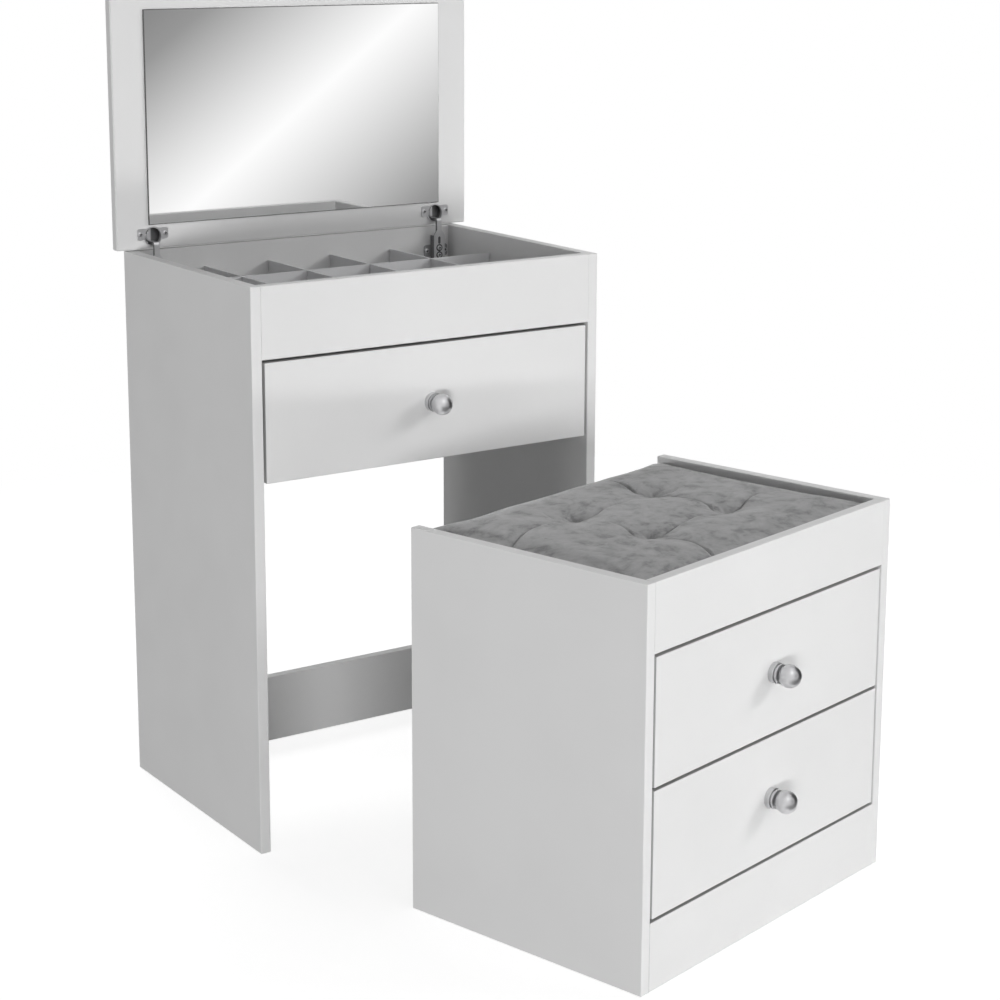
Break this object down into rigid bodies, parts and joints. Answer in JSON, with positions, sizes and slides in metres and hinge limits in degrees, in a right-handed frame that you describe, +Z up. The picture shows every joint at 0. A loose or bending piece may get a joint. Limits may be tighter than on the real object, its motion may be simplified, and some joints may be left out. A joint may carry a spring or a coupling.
{
  "type": "dressing table",
  "caption": "Compact white dressing table with a lift-up mirror lid over a divided tray, a drawer, and a drawer stool with a tufted seat that tucks into the kneehole.",
  "frame": {"origin": "on the floor, under the middle of the box round the whole set as it stands", "axes": "+Z up, -Y the table's front, +X to the right of someone facing the table"},
  "size_m": [0.6833, 0.9824, 1.1624],
  "materials": {
    "white_melamine": "matte white melamine on particle board",
    "divider_board": "thin white painted fibreboard",
    "bottom_board": "thin white faced hardboard",
    "mirror_glass": "plain flat mirror, ground edge",
    "knob_nickel": "satin nickel plate",
    "hinge_nickel": "nickel plated pressed steel",
    "fitting_zinc": "bright zinc",
    "runner_plastic": "matte white plastic",
    "bumper_rubber": "clear soft rubber",
    "seat_velvet": "mottled grey velvet over foam"
  },
  "bodies": {
    "table": {"hinge_clamp_screws": "hinge_nickel", "hinge_plate_screws": "hinge_nickel", "left_hinge_arm": "hinge_nickel", "left_hinge_plate": "hinge_nickel", "right_hinge_arm": "hinge_nickel", "right_hinge_plate": "hinge_nickel", "table_back_panel": "white_melamine", "table_cam_bolts": "fitting_zinc", "table_cam_locks": "fitting_zinc", "table_foot_rail": "white_melamine", "table_front_rail": "white_melamine", "table_left_side": "white_melamine", "table_right_side": "white_melamine", "table_runner_screws": "fitting_zinc", "table_runners": "runner_plastic", "table_tray_floor": "white_melamine", "tray_cross_divider_1": "divider_board", "tray_cross_divider_2": "divider_board", "tray_cross_divider_3": "divider_board", "tray_cross_divider_4": "divider_board", "tray_long_divider": "divider_board"},
    "lid": {"hinge_cup_screws": "hinge_nickel", "hinge_pins": "hinge_nickel", "left_hinge_cup": "hinge_nickel", "lid_bumpers": "bumper_rubber", "lid_mirror": "mirror_glass", "lid_panel": "white_melamine", "right_hinge_cup": "hinge_nickel"},
    "table_drawer": {"table_drawer_back": "white_melamine", "table_drawer_bottom": "bottom_board", "table_drawer_fixings": "fitting_zinc", "table_drawer_front": "white_melamine", "table_drawer_knob": "knob_nickel", "table_drawer_left_side": "white_melamine", "table_drawer_right_side": "white_melamine"},
    "stool": {"stool_back_panel": "white_melamine", "stool_cam_bolts": "fitting_zinc", "stool_cam_locks": "fitting_zinc", "stool_cushion": "seat_velvet", "stool_left_side": "white_melamine", "stool_plinth": "white_melamine", "stool_right_side": "white_melamine", "stool_runner_screws": "fitting_zinc", "stool_runners": "runner_plastic", "stool_seat_board": "white_melamine", "stool_top_rail": "white_melamine"},
    "stool_upper_drawer": {"stool_upper_drawer_back": "white_melamine", "stool_upper_drawer_bottom": "bottom_board", "stool_upper_drawer_fixings": "fitting_zinc", "stool_upper_drawer_front": "white_melamine", "stool_upper_drawer_knob": "knob_nickel", "stool_upper_drawer_left_side": "white_melamine", "stool_upper_drawer_right_side": "white_melamine"},
    "stool_lower_drawer": {"stool_lower_drawer_back": "white_melamine", "stool_lower_drawer_bottom": "bottom_board", "stool_lower_drawer_fixings": "fitting_zinc", "stool_lower_drawer_front": "white_melamine", "stool_lower_drawer_knob": "knob_nickel", "stool_lower_drawer_left_side": "white_melamine", "stool_lower_drawer_right_side": "white_melamine"}
  },
  "joints": [
    {"name": "lid_hinge", "type": "hinge", "parent": "table", "child": "lid", "pos_m": [-0.05324, 0.48295, 0.7752], "axis": [1, 0, 0], "range_deg": [0, 90]},
    {"name": "table_drawer_slide", "type": "slide", "parent": "table", "child": "table_drawer", "axis": [0, -1, 0], "range_m": [0, 0.25]},
    {"name": "stool_floor_slide", "type": "slide", "parent": "table", "child": "stool", "axis": [-0.2578, 0.9662, 0], "range_m": [-0.3, 0.1]},
    {"name": "stool_upper_drawer_slide", "type": "slide", "parent": "stool", "child": "stool_upper_drawer", "axis": [0.2578, -0.9662, 0], "range_m": [0, 0.25]},
    {"name": "stool_lower_drawer_slide", "type": "slide", "parent": "stool", "child": "stool_lower_drawer", "axis": [0.2578, -0.9662, 0], "range_m": [0, 0.25]}
  ]
}
